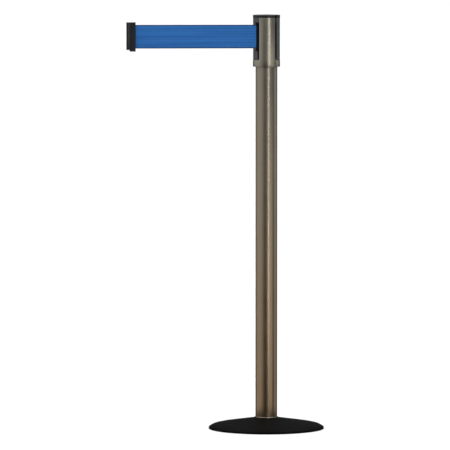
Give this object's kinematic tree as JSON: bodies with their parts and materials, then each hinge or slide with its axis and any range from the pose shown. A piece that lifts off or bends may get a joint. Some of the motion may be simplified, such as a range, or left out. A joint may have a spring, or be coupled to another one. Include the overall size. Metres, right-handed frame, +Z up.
{
  "type": "retractable belt stanchion",
  "caption": "Free-standing post on a weighted round base, with a blue belt that pulls out of a spring reel in its head and clips to the next post.",
  "frame": {"origin": "on the floor, on the post axis", "axes": "+Z up along the post; the belt leaves the head towards -X, in front of the axis; the front is -Y"},
  "size_m": [0.4629, 0.27, 0.97],
  "materials": {
    "metal": "satin",
    "bright_trim": "polished",
    "zinc_steel": "satin",
    "spring_steel": "satin",
    "cast_iron": "rough",
    "black_paint": "satin",
    "black_rubber": "matte",
    "black_plastic": "satin",
    "dark_plastic": "fine texture",
    "white_plastic": "matte",
    "brass": "satin",
    "belt_blue": "woven"
  },
  "bodies": {
    "stand": {"base_bolt": "zinc_steel", "base_cover": "black_paint", "base_washer": "zinc_steel", "base_weight": "cast_iron", "bearing_plate": "zinc_steel", "cap_screw": "zinc_steel", "cassette_base": "black_plastic", "cassette_screw_1": "zinc_steel", "cassette_screw_2": "zinc_steel", "cassette_screw_3": "zinc_steel", "e_clip": "spring_steel", "exit_guide": "black_plastic", "floor_pad": "black_rubber", "floor_ring": "black_rubber", "guide_pin_back": "bright_trim", "guide_pin_front": "bright_trim", "head_sleeve": "metal", "left_shell": "dark_plastic", "lower_bush": "brass", "post_foot_plug": "zinc_steel", "post_foot_ring": "bright_trim", "post_top_plug": "cast_iron", "post_tube": "metal", "power_spring": "spring_steel", "receiver_back_left": "black_plastic", "receiver_back_right": "black_plastic", "receiver_front_right": "black_plastic", "right_shell": "dark_plastic", "shell_screw_back": "zinc_steel", "shell_screw_front": "zinc_steel", "spindle": "zinc_steel", "spring_cover": "zinc_steel", "spring_cup": "zinc_steel", "spring_washer": "zinc_steel", "top_cap": "dark_plastic", "upper_bush": "brass"},
    "belt_end": {"belt": "belt_blue", "belt_end_body": "black_plastic", "belt_end_cover": "black_plastic", "belt_clamp_pin": "zinc_steel", "belt_end_screw_lower": "zinc_steel", "belt_end_screw_upper": "zinc_steel"},
    "spool": {"spool_core": "white_plastic", "spool_top_flange": "white_plastic", "belt_anchor_pin": "zinc_steel", "belt_coil": "belt_blue", "brake_rotor": "zinc_steel", "shoe_pivot_1": "zinc_steel", "shoe_pivot_2": "zinc_steel"},
    "shoe_1": {"brake_shoe_1": "brass"},
    "shoe_2": {"brake_shoe_2": "brass"}
  },
  "joints": [
    {"name": "belt_pull", "type": "slide", "parent": "stand", "child": "belt_end", "axis": [-1, 0, 0], "range_m": [-0.2785, 2], "stiffness_N_per_m": 1, "springref_m": -3.5, "deforming": ["belt"]},
    {"name": "spool_spin", "type": "hinge", "parent": "stand", "child": "spool", "pos_m": [0, 0, 0.921], "axis": [0, 0, 1], "range_deg": [-5680, 795], "deforming": ["power_spring"]},
    {"name": "shoe_1_swing", "type": "hinge", "parent": "spool", "child": "shoe_1", "pos_m": [0.0125, 0, 0.956], "axis": [0, 0, 1], "range_deg": [0, 3], "stiffness_Nm_per_rad": 0.02},
    {"name": "shoe_2_swing", "type": "hinge", "parent": "spool", "child": "shoe_2", "pos_m": [-0.0125, 0, 0.956], "axis": [0, 0, 1], "range_deg": [0, 3], "stiffness_Nm_per_rad": 0.02}
  ],
  "couplings": [
    {"joint": "spool_spin", "follows": "belt_pull", "rad_per_m": -49.5}
  ]
}
